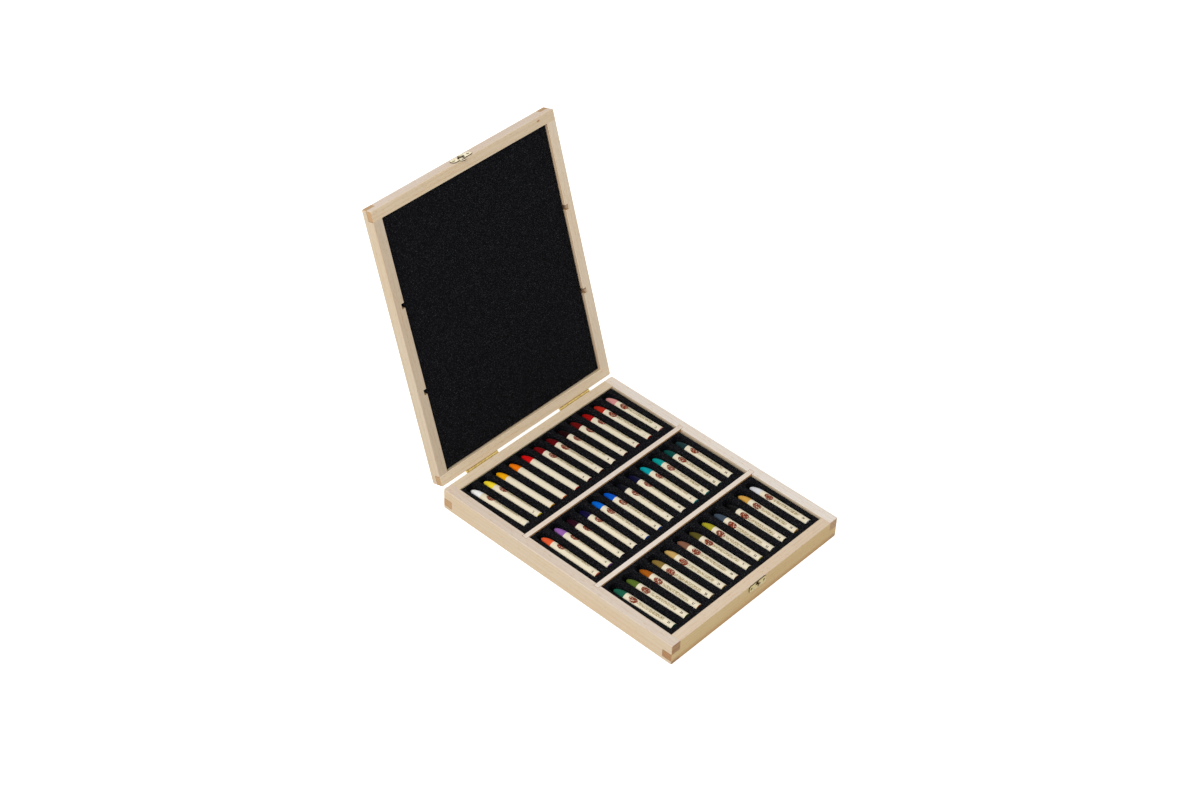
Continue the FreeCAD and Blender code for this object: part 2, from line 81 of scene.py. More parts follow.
def finish(name):
    """An empty material and its tree and shader."""
    surface = bpy.data.materials.new(name)
    surface.use_nodes = True
    return surface, surface.node_tree, surface.node_tree.nodes["Principled BSDF"]


def add(tree, kind, inputs, **settings):
    """A new shader node; each input takes a value or another node's output."""
    node = tree.nodes.new("ShaderNode" + kind)
    for name, value in settings.items():
        setattr(node, name, value)
    for name, value in inputs.items():
        if isinstance(value, bpy.types.NodeSocket):
            tree.links.new(value, node.inputs[name])
        else:
            node.inputs[name].default_value = value
    return node


def reckoned(tree, operation, first, second=0.0):
    """A sum on two numbers."""
    return add(tree, "Math", {0: first, 1: second}, operation=operation).outputs[0]


def blended(tree, share, first, second, way="MIX"):
    """Two colours mixed by a share of the second."""
    mix = add(tree, "Mix", {0: share, 6: first, 7: second}, data_type="RGBA", blend_type=way)
    return mix.outputs[2]


def ramp(tree, value, *stops):
    """A number bent through (from, to) stops."""
    node = add(tree, "ValToRGB", {"Fac": value})
    elements = node.color_ramp.elements
    while len(elements) < len(stops):
        elements.new(0.5)
    for element, (position, level) in zip(elements, stops):
        element.position = position
        element.color = (level, level, level, 1.0)
    return node.outputs[0]


def stretched_noise(tree, place, scale, detail=2.0):
    """Noise whose grains are 1 / scale millimetres along each axis."""
    stretch = add(tree, "Mapping", {"Vector": place, "Scale": scale})
    noise = add(tree, "TexNoise", {"Vector": stretch.outputs[0], "Scale": 1.0, "Detail": detail})
    return noise.outputs["Fac"]


def in_millimetres(tree, turn=(0.0, 0.0, 0.0), middle=(0.0, 0.0, 0.0)):
    """The place on the piece in millimetres: turned about the origin, then taken from a middle."""
    here = add(tree, "TexCoord", {})
    moved = add(tree, "Mapping", {"Vector": here.outputs["Object"], "Scale": (1000.0,) * 3,
                                  "Rotation": turn, "Location": [-c for c in middle]})
    return moved.outputs[0]


def facing(tree, turn):
    """How much the surface faces along X, Y and Z once the piece is turned."""
    here = add(tree, "TexCoord", {})
    way = add(tree, "Mapping", {"Vector": here.outputs["Normal"], "Rotation": turn},
              vector_type="VECTOR")
    return add(tree, "SeparateXYZ", {"Vector": way.outputs[0]}).outputs


def roughened(tree, shader, value, least, most):
    """Roughness that goes from least to most as a value goes from 0 to 1."""
    dull = add(tree, "MapRange", {"Value": value, "To Min": least, "To Max": most})
    tree.links.new(dull.outputs[0], shader.inputs["Roughness"])


def relief(tree, shader, height, strength, distance):
    """Fine relief of the surface, at most distance metres high."""
    bump = add(tree, "Bump", {"Height": height, "Strength": strength, "Distance": distance})
    tree.links.new(bump.outputs[0], shader.inputs["Normal"])


def vertices(node):
    """The vertices of a CAD node, in metres."""
    mesh = frame["nodes"][node].data
    points = np.empty(len(mesh.vertices) * 3, np.float32)
    mesh.vertices.foreach_get("co", points)
    return points.reshape(-1, 3).astype(float)


def about_x(points, angle):
    """Points turned about the X axis through the origin."""
    c, s = math.cos(angle), math.sin(angle)
    return points @ np.array([[1, 0, 0], [0, c, -s], [0, s, c]]).T


def dressed(node, surface):
    """Give a CAD node its material."""
    mesh = frame["nodes"][node].data
    mesh.materials.clear()
    mesh.materials.append(surface)


def board(node, tone, heart, on_lid=False, along_y=False, rim=0, rim_painted_light=RIM_PAINTED_LIGHT,
          end_tone=END_TONE, dark_lines=(), knot=None, painted_low_shade=None):
    """Solid wood for one board.

    The growth rings are the distance from a heart line along the grain, made uneven by slow
    noise. heart is how far across and up from that line the board's middle is, in millimetres.
    Fine fibres and short pores are noise drawn out along the grain. rim is 1 or -1 where the
    rim faces up or down on the shut box: faces turned that way take rim_painted_light, as painted
    light, and the eased edges next to them take it too, as a painted highlight. dark_lines gives
    the dark lines on the end grain as pairs of an axis and a place on it, and knot the middle of
    a pin knot, both from the middle of the board. painted_low_shade is a browner tone painted
    towards the board's lower edge as shade.
    """
    wood, tree, shader = finish("wood_" + node)
    tilt = LID_TILT if on_lid else 0.0
    middle = about_x(vertices(node), tilt) * 1000
    if along_y:
        middle = middle[:, [1, 0, 2]] * (1, -1, 1)
    middle = (middle.min(0) + middle.max(0)) / 2
    turn = (tilt, 0.0, -math.pi / 2 if along_y else 0.0)
    place = in_millimetres(tree, turn, middle.tolist())
    faces = facing(tree, turn)
    end = ramp(tree, reckoned(tree, "ABSOLUTE", faces["X"]), (0.6, 0.0), (0.75, 1.0))

    spot = add(tree, "SeparateXYZ", {"Vector": place}).outputs
    sway = reckoned(tree, "SUBTRACT", stretched_noise(tree, place, (0.006, 0.03, 0.03)), 0.5)
    sway = reckoned(tree, "MULTIPLY", sway, RING_SWAY)
    across = reckoned(tree, "ADD", spot["Y"], heart[0])
    up = reckoned(tree, "ADD", reckoned(tree, "ADD", spot["Z"], heart[1]), sway)
    away = reckoned(tree, "SQRT", reckoned(tree, "ADD", reckoned(tree, "POWER", across, 2.0),
                                          reckoned(tree, "POWER", up, 2.0)))
    ring = reckoned(tree, "FRACT", reckoned(tree, "DIVIDE", away, RING_WIDTH))
    ring = ramp(tree, ring, (0.0, 0.05), (0.55, 0.25), (0.86, 1.0), (1.0, 0.05))
    ring = reckoned(tree, "MULTIPLY", ring, stretched_noise(tree, place, (0.01, 0.12, 0.12)))
    fibre = stretched_noise(tree, place, (0.05, 2.6, 2.6), 3.0)
    pore = ramp(tree, stretched_noise(tree, place, (0.22, 1.7, 1.7)), (0.60, 0.0), (0.72, 1.0))
    cloud = stretched_noise(tree, place, (0.012, 0.05, 0.05))

    face = colour(*tone)
    # painted shade: the face turns browner towards the lower edge of the board
    if painted_low_shade:
        low = add(tree, "MapRange", {"Value": spot["Z"], "From Min": PAINTED_LOW_SHADE_SPAN[0],
                                     "From Max": PAINTED_LOW_SHADE_SPAN[1]})
        face = blended(tree, low.outputs[0], face, colour(*painted_low_shade))
    # painted light: faces turned towards the rim take the paler rim tone, and the eased edges beside them take it
    # as a painted highlight
    if rim:
        rim_painted_light_share = reckoned(tree, "MULTIPLY", faces["Z"], float(rim))
        rim_painted_light_share = ramp(tree, rim_painted_light_share, (0.55, 0.0), (0.65, 1.0))
        face = blended(tree, rim_painted_light_share, face, colour(*rim_painted_light))
    face = blended(tree, end, face, colour(*end_tone))
    shade = blended(tree, end, (*RING_SHADE, 1.0), (*END_RING_SHADE, 1.0))
    face = blended(tree, ring, face, shade, "MULTIPLY")
    # dark lines on the end grain, along the joints and across it
    for axis, line in dark_lines:
        off = reckoned(tree, "ABSOLUTE", reckoned(tree, "SUBTRACT", spot[axis], line))
        seam = reckoned(tree, "MULTIPLY", end, ramp(tree, off, (0.15, 0.9), (0.75, 0.0)))
        face = blended(tree, seam, face, colour(*DARK_LINE_TONE))
    if knot:
        off = add(tree, "Mapping", {"Vector": place, "Scale": [1 / w for w in KNOT_REACH],
                                    "Location": [-c / w for c, w in zip(knot, KNOT_REACH)]})
        off = add(tree, "VectorMath", {0: off.outputs[0]}, operation="LENGTH").outputs["Value"]
        face = blended(tree, ramp(tree, off, (0.3, 1.0), (1.0, 0.0)), face, colour(*KNOT_TONE))
    face = blended(tree, fibre, face, (*FIBRE_SHADE, 1.0), "MULTIPLY")
    face = blended(tree, pore, face, (*PORE_SHADE, 1.0), "MULTIPLY")
    cloudy = ramp(tree, cloud, (0.35, 0.0), (0.65, 1.0))
    face = blended(tree, cloudy, face, (*CLOUD_SHADE, 1.0), "MULTIPLY")
    tree.links.new(face, shader.inputs["Base Color"])
    roughened(tree, shader, fibre, 0.5, 0.68)
    relief(tree, shader, reckoned(tree, "SUBTRACT", fibre, pore), 0.25, 0.08e-3)
    shader.inputs["Specular IOR Level"].default_value = 0.3
    dressed(node, wood)


# The tones of each board's faces, rim and end grain are set one by one as painted light and shade for how the
# light falls on that board; the darker end tones of the tray's front and left walls paint the shade on the finger
# ends at the front left corner.
board("tray_front_wall", (214, 189, 140), (38, -52), rim=1, rim_painted_light=(219, 201, 180),
      end_tone=(170, 130, 90), dark_lines=(("Z", -7.3), ("Z", 1.0), ("Y", 5.2)), painted_low_shade=(192, 154, 100))
board("tray_back_wall", (206, 188, 152), (-30, 60), rim=1, rim_painted_light=(220, 205, 182),
      dark_lines=(("Z", -7.3), ("Z", 1.0), ("Y", -5.2)))
board("tray_left_wall", (206, 190, 166), (44, 40), along_y=True, rim=1, rim_painted_light=(217, 204, 192),
      end_tone=(172, 134, 94), dark_lines=(("Z", 10.8), ("Z", 4.6), ("Z", 1.0)))
board("tray_right_wall", (228, 210, 184), (-52, 36), along_y=True, rim=1, rim_painted_light=(233, 226, 220))
board("lid_front_wall", (218, 204, 192), (40, 48), on_lid=True, rim=-1, rim_painted_light=(222, 205, 179),
      dark_lines=(("Z", 0.0), ("Y", 5.2)), knot=(92.0, -1.6, -6.0))
board("lid_back_wall", (215, 197, 170), (-36, -58), on_lid=True, rim=-1, rim_painted_light=(235, 220, 196),
      dark_lines=(("Z", 0.0), ("Y", -5.2)))
board("lid_left_wall", (202, 188, 166), (50, -38), on_lid=True, along_y=True, rim=-1,
      rim_painted_light=(207, 192, 172))
board("lid_right_wall", (216, 194, 167), (-46, 44), on_lid=True, along_y=True, rim=-1,
      rim_painted_light=(230, 216, 196))

# ---- Panels and dividers -----------------------------------------------------------------
# Thin plywood panels let into rebates close the tray's underside and the lid's top. Two thin
# boards with planed edges part the rows and stand in grooves in the side walls.

# These tones are set board by board as painted light and shade as well; the dividers' orange-brown paints the warm
# shade on their faces below the rim.
board("tray_bottom", (214, 194, 156), (8, 240))
board("lid_panel", (220, 202, 168), (-12, -230), on_lid=True)
board("tray_dividers", (204, 158, 108), (30, 70), rim=1, rim_painted_light=(231, 221, 212))

# ---- Foam inserts ------------------------------------------------------------------------
# Three blocks of soft black closed-cell foam, each cut with a slot for every pastel and with
# a scooped finger well under each tip. The cut edges are rounded by handling.

FOAM_DARK = (2, 2, 4)
FOAM_LIGHT = (68, 69, 75)
SLOT_HALF = 4.95e-3
SLOT_DEPTH = 9.0e-3
FOOT_ROOM = 0.8e-3        # of slot in front of a pastel's foot
WELL_HALF_WIDTH = 5.65e-3
WELL_HALF_LENGTH = 4.7e-3
WELL_DEPTH = 12.4e-3
WELL_PAST_TIP = 3.4e-3
SLOT_CORNER = 1.2e-3
WELL_CORNER = 4.2e-3
CUT_LEAN = 0.35e-3        # how far a cut wall leans
LIP = 0.25e-3             # how far the cut edge is rounded down
LIP_REACH = 0.6e-3
WALL_LIP = 0.075e-3       # the same at the outside of the insert
WALL_LIP_REACH = 0.5e-3
TOP_SUNK = 0.1e-3         # how far the top lies below that of the solid
FOAM_WAVE = 0.12e-3
INSERT_WAVE_LENGTH = 45e-3
NEAR_CUT = np.array([-0.75, -0.5, -0.3, -0.15, 0.0, 0.15, 0.35, 0.7]) * 1e-3
NEAR_SIDE = np.array([0, 0.3, 0.8, 2.0]) * 1e-3
NEAR_FRONT = np.array([0, 0.3, 0.8, 2.0, 4.0]) * 1e-3
NEAR_BACK = np.array([0, 0.3, 0.8, 2.0, 3.5]) * 1e-3
SHARP = math.radians(40)  # edges that turn further than this aren't shaded smooth


def skin(name, rings, looped=False, unrolled=None):
    """A closed mesh through rings of points, an array of (rings, points, 3).

    Quads join neighbouring rings. The first and last ring are joined too if looped, and are
    otherwise closed by a flat face each. unrolled gives a UV map as the distance round and
    along, one value more than there are points and rings. The faces are turned outward by
    the sign of the volume that they enclose.
    """
    count, around = rings.shape[:2]
    along, about = np.meshgrid(np.arange(count if looped else count - 1), np.arange(around),
                               indexing="ij")
    corner_ring = np.stack([along, along, along + 1, along + 1], -1).reshape(-1, 4)
    corner_point = np.stack([about, about + 1, about + 1, about], -1).reshape(-1, 4)
    quads = (corner_ring % count) * around + corner_point % around
    points = rings.reshape(-1, 3)
    a, b, c, d = (points[quads[:, n]] - points.mean(0) for n in range(4))
    volume = (a * (np.cross(b, c) + np.cross(c, d))).sum()
    faces = quads.tolist()
    if not looped:
        faces += [list(range(around))[::-1], list(range((count - 1) * around, count * around))]
    if volume < 0:
        faces = [face[::-1] for face in faces]
        corner_ring, corner_point = corner_ring[:, ::-1], corner_point[:, ::-1]
    mesh = bpy.data.meshes.new(name)
    mesh.from_pydata(points.tolist(), [], faces)
    if unrolled:
        layer = mesh.uv_layers.new(name="unrolled")
        uv = np.zeros((len(mesh.loops), 2))
        uv[:quads.size, 0] = unrolled[0][corner_point.ravel()]
        uv[:quads.size, 1] = unrolled[1][corner_ring.ravel()]
        layer.data.foreach_set("uv", uv.ravel())
    mesh.shade_smooth()
    mesh.set_sharp_from_angle(angle=SHARP)
    piece = bpy.data.objects.new(name, mesh)
    bpy.context.scene.collection.objects.link(piece)
    return piece


def settled(piece, surface, slot, body, *nodes):
    """Give a piece its material and its body, and hide the nodes it stands for. slot is not used."""
    piece.data.materials.append(surface)
    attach(piece, body)
    if nodes:
        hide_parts(*nodes)


def outside(x, y, x_half, y_half, corner):
    """Distance outside a rectangle with rounded corners that is centred on the origin.

    It is the distance to the rectangle that the corners' centres make, less the corner's radius,
    and less than nothing inside.
    """
    dx = np.abs(x) - x_half + corner
    dy = np.abs(y) - y_half + corner
    beyond = np.hypot(np.maximum(dx, 0), np.maximum(dy, 0))
    return beyond + np.minimum(np.maximum(dx, dy), 0) - corner


def to_sides(x, y, low, high):
    """Distance to the nearest side of a box, seen from above."""
    return np.minimum(np.minimum(x - low[0], high[0] - x), np.minimum(y - low[1], high[1] - y))


def eased(value):
    """0 to 1 with level ends: three times the square less twice the cube."""
    value = np.clip(value, 0, 1)
    return value * value * (3 - 2 * value)


def uneven(x, y, height, wave):
    """A few crossed sine waves, as slight unevenness in a soft surface."""
    k = 2 * math.pi / wave
    return height / 3 * (np.sin(k * x + 1.1) * np.cos(0.7 * k * y) + np.sin(0.6 * k * (x + y))
                         + np.sin(1.3 * k * (y - 0.5 * x) + 2.0))


def pastel_ends(node):
    """The middles of a pastel's foot and of its nose."""
    points = vertices(node)
    y = points[:, 1]
    foot = points[y < y.min() + 1e-3]
    nose = points[y > y.max() - 1e-3]
    return (foot.min(0) + foot.max(0)) / 2, (nose.min(0) + nose.max(0)) / 2


foam, tree, shader = finish("black_foam")
cells = stretched_noise(tree, in_millimetres(tree), (1.5,) * 3, 3.0)
specks = ramp(tree, cells, (0.55, 0.0), (0.73, 1.0))
face = blended(tree, specks, colour(*FOAM_DARK), colour(*FOAM_LIGHT))
tree.links.new(face, shader.inputs["Base Color"])
relief(tree, shader, cells, 0.7, 0.6e-3)
shader.inputs["Roughness"].default_value = 0.95
shader.inputs["Specular IOR Level"].default_value = 0.08


def foam_insert(row, pastels):
    """An insert with its slots: the depth at (x, y) is that of the deeper of slot and well,
    each a rounded rectangle whose wall leans a little, with the lips rounded down.

    The grid's columns follow the slots: each column is a distance to the side of one slot's
    centre line, which is a straight line through the ends of its pastel. The columns and rows
    lie closer together near cuts and sides.
    """
    low, high = (np.array(corner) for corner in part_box("foam_" + row))
    ends = np.array([pastel_ends(name) for name in pastels])
    foot, tip = ends[:, 0, 1].min(), ends[:, 1, 1].max()
    lean = (ends[:, 1, 0] - ends[:, 0, 0]) / (ends[:, 1, 1] - ends[:, 0, 1])
    centres = ends.mean(1)[:, 0]
    well_y = tip + WELL_PAST_TIP - WELL_HALF_LENGTH
    slot_y, slot_half_length = (foot - FOOT_ROOM + tip) / 2, (tip - foot + FOOT_ROOM) / 2
    across = [np.array([-2.5, 0.0, 2.5]) * 1e-3]
    for cut in (SLOT_HALF, WELL_HALF_WIDTH):
        across += [cut + NEAR_CUT, -cut - NEAR_CUT]
    across = np.unique(np.round(np.concatenate(across), 6))
    y = np.concatenate([low[1] + NEAR_FRONT, high[1] - NEAR_BACK,
                        foot - FOOT_ROOM - NEAR_CUT, np.linspace(foot, tip - 9e-3, 24),
                        np.arange(well_y - WELL_HALF_LENGTH - 1e-3,
                                  well_y + WELL_HALF_LENGTH + 1e-3, 4e-4)])
    y = np.unique(np.round(y[(y >= low[1]) & (y <= high[1])], 5))
    line = centres + lean * (y[:, None] - ends[:, :, 1].mean())
    columns = (line[:, :, None] + across).reshape(len(y), -1)
    left = np.tile(low[0] + NEAR_SIDE, (len(y), 1))
    right = np.tile(high[0] - NEAR_SIDE[::-1], (len(y), 1))
    gx = np.concatenate([left, columns, right], 1)
    gy = np.broadcast_to(y[:, None], gx.shape)
    off = np.concatenate([left - line[:, :1], np.tile(across, (len(y), len(pastels))),
                          right - line[:, -1:]], 1)
    slot = outside(off, gy - slot_y, SLOT_HALF, slot_half_length, SLOT_CORNER)
    well = outside(off, gy - well_y, WELL_HALF_WIDTH, WELL_HALF_LENGTH, WELL_CORNER)
    depth = np.maximum(SLOT_DEPTH * eased(-slot / CUT_LEAN),
                       WELL_DEPTH * eased(-well / (2 * CUT_LEAN)))
    to_cut = np.minimum(np.abs(slot), np.abs(well))
    to_side = to_sides(gx, gy, low, high)
    lip = LIP * np.exp(-(to_cut / LIP_REACH) ** 2) * (depth < 1e-3)
    lip = lip + WALL_LIP * np.exp(-to_side / WALL_LIP_REACH)
    top = high[2] - TOP_SUNK - depth - lip + uneven(gx, gy, FOAM_WAVE, INSERT_WAVE_LENGTH)
    rings = np.stack([gx, gy, np.minimum(top, high[2])], -1)
    under = np.empty((len(y), 2, 3))
    under[:, :, 0] = (high[0], low[0])
    under[:, :, 1] = y[:, None]
    under[:, :, 2] = low[2]
    piece = skin("insert_" + row, np.concatenate([rings, under], 1))
    settled(piece, foam, "foam", "tray", "foam_" + row)


ROWS = {row: [] for row in ("front", "middle", "rear")}
for name in sorted((node for node in frame["nodes"] if node.startswith("pastel_")),
                   key=lambda node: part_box(node)[0].x):
    middle_y = sum(corner.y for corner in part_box(name)) / 2
    for row in ROWS:
        low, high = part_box("foam_" + row)
        if low.y < middle_y < high.y:
            ROWS[row].append(name)
for row, names in ROWS.items():
    foam_insert(row, names)

# ---- Lid pad -----------------------------------------------------------------------------
# A flat sheet of the same foam is glued to the inside of the lid and keeps the pastels in
# their slots when the box is shut. Its cut edges are square, with the corners rubbed round.

HINGE_AXIS = np.array(LID_HINGE["pos_m"])
PAD_SUNK = 0.15e-3        # how far the face lies behind that of the solid
PAD_EDGE_DROP = 0.9e-3
PAD_EDGE_REACH = 0.4e-3
PAD_WAVE_LENGTH = 60e-3
NEAR_RIM = np.array([0, 0.15, 0.4, 0.8, 1.5, 3.0]) * 1e-3


def shut(points):
    """Points of the open lid where they are on the shut box."""
    return about_x(points - HINGE_AXIS, LID_TILT) + HINGE_AXIS


def opened(points):
    """Points of the shut lid where they are on the open box."""
    return about_x(points - HINGE_AXIS, -LID_TILT) + HINGE_AXIS


def lid_pad():
    """The face of the pad is a level sheet with slight waves, which falls away towards its edges
    as the exponential of the distance to them."""
    corners = shut(vertices("lid_foam_pad"))
    low, high = corners.min(0), corners.max(0)
    x, y = (np.concatenate([low[axis] + NEAR_RIM,
                            np.linspace(low[axis] + 6e-3, high[axis] - 6e-3, steps),
                            (high[axis] - NEAR_RIM)[::-1]]) for axis, steps in ((0, 50), (1, 60)))
    gx, gy = np.meshgrid(x, y)
    drop = PAD_EDGE_DROP * np.exp(-to_sides(gx, gy, low, high) / PAD_EDGE_REACH)
    face = low[2] + PAD_SUNK + drop + uneven(gx, gy, FOAM_WAVE, PAD_WAVE_LENGTH)
    rings = np.stack([gx, gy, np.maximum(face, low[2])], -1)
    back = np.empty((len(y), 2, 3))
    back[:, :, 0] = (x[-1], x[0])
    back[:, :, 1] = y[:, None]
    back[:, :, 2] = high[2]
    piece = skin("lid_pad", opened(np.concatenate([rings, back], 1)))
    settled(piece, foam, "foam", "lid", "lid_foam_pad")


lid_pad()

# ---- Sticks ------------------------------------------------------------------------------
# Each pastel is a pressed stick of pigment, wax and oil with a bullet tip. The surface is
# smooth and a little greasy, with faint marks from the mould and from handling.

STICK_RADIUS = 4.45e-3
WRAPPED = 54.5e-3         # length of stick inside the wrapper, from the foot
AROUND = 40               # points round a stick and its wrapper
FOOT_ROUNDING = np.array([[0.02, 0.40], [0.10, 0.10], [0.40, 0.0]]) * 1e-3   # along and inwards
BULLET_POWERS = (1.95, 0.60)
NOSE_FLAT = 0.2e-3        # radius of the flat that the bullet ends in
PALE_WAX, DEEP_WAX = 1.1, 0.86


def wax(name, base):
    """Oily wax of one colour, with slow drifts of shade and fine pale streaks along the stick."""
    surface, tree, shader = finish("wax_" + name)
    place = in_millimetres(tree)
    drift = stretched_noise(tree, place, (0.35, 0.2, 0.35))
    streak = stretched_noise(tree, place, (2.4, 0.4, 2.4), 3.0)
    pale = tuple(min(1.0, PALE_WAX * c + 0.005) for c in base)
    deep = tuple(DEEP_WAX * c for c in base)
    shade = blended(tree, ramp(tree, drift, (0.3, 0.0), (0.7, 1.0)), (*deep, 1.0), (*base, 1.0))
    shade = blended(tree, ramp(tree, streak, (0.55, 0.0), (0.8, 0.6)), shade, (*pale, 1.0))
    tree.links.new(shade, shader.inputs["Base Color"])
    roughened(tree, shader, streak, 0.3, 0.55)
    relief(tree, shader, streak, 0.3, 0.2e-3)
    shader.inputs["Specular IOR Level"].default_value = 0.05
    return surface


def around_axis(foot, nose, along, radius, angle):
    """Points at a distance along the axis from foot to nose, and at a radius and angle from it.

    The angle starts from straight up and grows towards +X.
    """
    axis = (nose - foot) / np.linalg.norm(nose - foot)
    side = np.cross(axis, (0, 0, 1))
    up = np.cross(side, axis)
    ray = np.cos(angle)[..., None] * up + np.sin(angle)[..., None] * side
    return foot + along[..., None] * axis + radius[..., None] * ray


def stick(name):
    """A turned stick: straight to the end of the wrapper, then a bullet. Its radius there is the
    stick's times (1 - share ** first power) ** second power, where share is how much of the
    bullet's length lies behind."""
    foot, nose = pastel_ends(name)
    length = np.linalg.norm(nose - foot)
    share = np.linspace(0, 1, 22) ** 0.75
    bullet = STICK_RADIUS * (1 - share ** BULLET_POWERS[0]) ** BULLET_POWERS[1]
    along = np.concatenate([FOOT_ROUNDING[:, 0], [WRAPPED - 1e-3],
                            WRAPPED + (length - WRAPPED) * share])
    radius = np.concatenate([STICK_RADIUS - FOOT_ROUNDING[:, 1], [STICK_RADIUS],
                             np.maximum(bullet, NOSE_FLAT)])
    angle = np.linspace(0, 2 * math.pi, AROUND, endpoint=False)
    rings = around_axis(foot, nose, *np.broadcast_arrays(along[:, None], radius[:, None], angle))
    colour_name = name.removeprefix("pastel_")
    pigments = frame["record"]["materials"]
    base = next(pigment["base_color"] for pigment in pigments if pigment["slot"] == name)
    piece = skin("stick_" + colour_name, rings)
    settled(piece, wax(colour_name, base), name, name, name)


for names in ROWS.values():
    for name in names:
        stick(name)

# ---- Wrappers ----------------------------------------------------------------------------
# A label of cream paper is wound once round each stick and glued where it overlaps. It has a
# plain red-brown spot, a worn plain tan band, and the stick's number near its foot.

PAPER = (230, 220, 197)
PAPER_FIBRE_SHADE = (0.90, 0.87, 0.80)
SPOT = (118, 42, 14)
BAND = (142, 122, 76)
INK, WORN_INK = (40, 28, 18), (92, 72, 48)
WRAPPER_RADIUS = 4.6e-3
WRAPPER_START = 0.25e-3   # of bare stick at the foot
PAPER_THICKNESS = 0.12e-3
PAPER_WAVE = 0.02e-3
PAPER_EDGE = 0.15e-3      # length of the edge that is pressed in
EDGE_PRESSED = 0.06e-3
GLUED_IN = 0.01e-3        # how far the inside of the paper is in the wax
SPOT_FROM_END = 9.3e-3
SPOT_HALF_SIZES = (3.3, 4.8)     # round the stick and along it, in millimetres
BAND_REACH = 4.0          # round the stick, in millimetres
LABEL_REACH = 60.0        # along the stick, in millimetres
UV_SCALE = 10.0           # UV units in a metre
ROLLS = {"front": (-19.0, -19.0), "middle": (24.0, 4.0), "rear": (30.0, 8.0)}
NUMBER_ROLL = -19.0
ROLL_SCATTER, SCATTER_STEP = 9.0, 5.1
TURNED_AWAY, AWAY_ROLL = ("golden_yellow", "orange", "bright_red"), 150.0
NUMBER_SIZE = 2.8e-3
NUMBER_HALF_HEIGHT = 0.9e-3
NUMBER_BOLDNESS = 0.09e-3
NUMBER_FROM_FOOT = 6.5e-3
INK_THICKNESS = 0.02e-3


def paper_label():
    """Cream paper with its print. Each shape of the print is drawn on the unrolled label from the
    distance to its middle, and worn by noise."""
    surface, tree, shader = finish("paper_label")
    here = add(tree, "TexCoord", {})
    label = add(tree, "Mapping", {"Vector": here.outputs["UV"], "Scale": (1000 / UV_SCALE,) * 3})
    label = add(tree, "SeparateXYZ", {"Vector": label.outputs[0]}).outputs
    round_it = reckoned(tree, "SUBTRACT", label["X"], math.pi * WRAPPER_RADIUS * 1000)
    along = reckoned(tree, "SUBTRACT", label["Y"], (WRAPPED - SPOT_FROM_END) * 1000)
    place = in_millimetres(tree)
    mottle = stretched_noise(tree, place, (0.9,) * 3, 3.0)
    fibre = stretched_noise(tree, place, (2.5, 1.2, 2.5), 4.0)
    worn = ramp(tree, stretched_noise(tree, place, (1.3, 0.8, 1.3), 3.0), (0.40, 0.1), (0.58, 0.95))

    oval = reckoned(tree, "SQRT", reckoned(tree, "ADD", *(
        reckoned(tree, "POWER", reckoned(tree, "DIVIDE", off, half), 2.0)
        for off, half in zip((round_it, along), SPOT_HALF_SIZES))))
    in_spot = ramp(tree, oval, (0.0, 1.0), (0.93, 1.0), (1.0, 0.0))
    in_spot = reckoned(tree, "MULTIPLY", in_spot, ramp(tree, mottle, (0.36, 0.2), (0.46, 1.0)))
    off = reckoned(tree, "DIVIDE", reckoned(tree, "ABSOLUTE", round_it), BAND_REACH)
    in_band = ramp(tree, off, (0.3, 1.0), (0.48, 0.0))
    on_length = ramp(tree, reckoned(tree, "DIVIDE", label["Y"], LABEL_REACH),
                     (0.17, 0.0), (0.19, 1.0), (0.67, 1.0), (0.69, 0.0))
    in_band = reckoned(tree, "MULTIPLY", reckoned(tree, "MULTIPLY", in_band, on_length), worn)

    face = blended(tree, fibre, colour(*PAPER), (*PAPER_FIBRE_SHADE, 1.0), "MULTIPLY")
    face = blended(tree, in_band, face, colour(*BAND))
    face = blended(tree, in_spot, face, colour(*SPOT))
    tree.links.new(face, shader.inputs["Base Color"])
    relief(tree, shader, fibre, 0.2, 0.1e-3)
    shader.inputs["Roughness"].default_value = 0.6
    shader.inputs["Specular IOR Level"].default_value = 0.08
    return surface


def number_print(text, foot, nose, roll):
    """A number laid round the wrapper: its letters' width runs towards the foot and their
    height round the paper, a hair above it."""
    letters = bpy.data.curves.new("letters", "FONT")
    letters.body = text
    letters.size = NUMBER_SIZE
    letters.offset = NUMBER_BOLDNESS
    letters.resolution_u = 2
    flat = bpy.data.objects.new("letters", letters)
    mesh = bpy.data.meshes.new_from_object(flat)
    bpy.data.objects.remove(flat)
    points = np.empty(len(mesh.vertices) * 3, np.float32)
    mesh.vertices.foreach_get("co", points)
    points = points.reshape(-1, 3)
    angle = roll + (points[:, 1] - NUMBER_HALF_HEIGHT) / WRAPPER_RADIUS
    radius = np.full(len(points), WRAPPER_RADIUS + INK_THICKNESS)
    bent = around_axis(foot, nose, NUMBER_FROM_FOOT - points[:, 0], radius, angle)
    mesh.vertices.foreach_set("co", bent.ravel())
    return mesh


